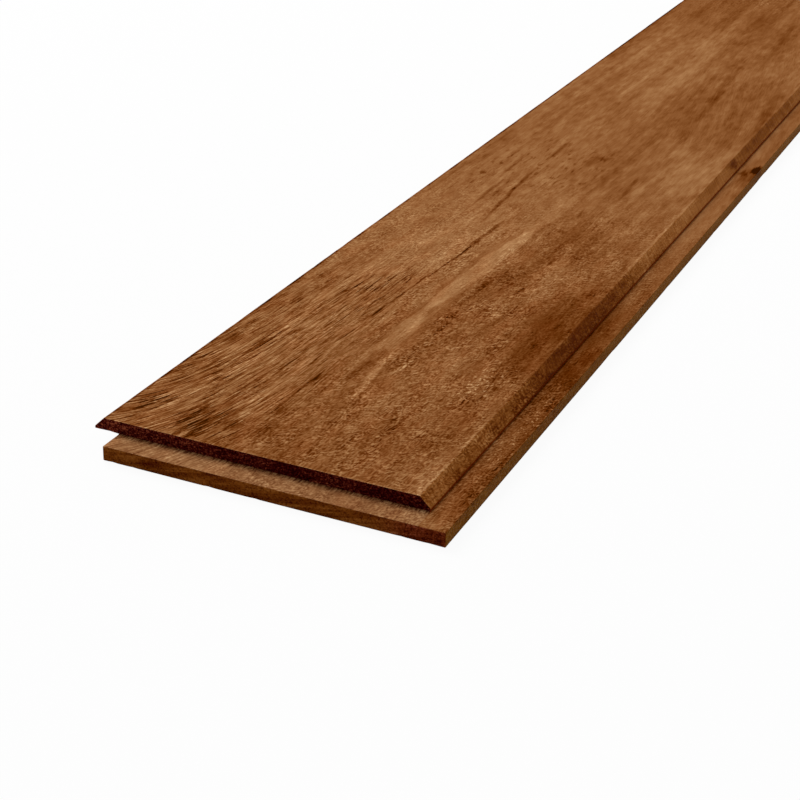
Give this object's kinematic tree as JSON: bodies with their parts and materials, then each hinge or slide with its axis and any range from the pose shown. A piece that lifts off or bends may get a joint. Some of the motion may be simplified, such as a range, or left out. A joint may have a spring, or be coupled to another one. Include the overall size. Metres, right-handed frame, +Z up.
{
  "type": "hardwood cladding board",
  "caption": "Hardwood cladding board with bevelled long edges, a lip along one side and one end, and a matching overhang along the other side and end.",
  "frame": {"origin": "centre of the board's bounding rectangle, on its back", "axes": "+Y along the board, from the end with the lip to the end with the overhang; +X across it, towards the side lip; +Z up, out of the show face"},
  "size_m": [0.14, 1.2, 0.0105],
  "materials": {
    "hardwood": "planed reddish brown hardwood, bare, with a low sheen"
  },
  "bodies": {
    "root": {"cladding_board": "hardwood"}
  },
  "joints": []
}
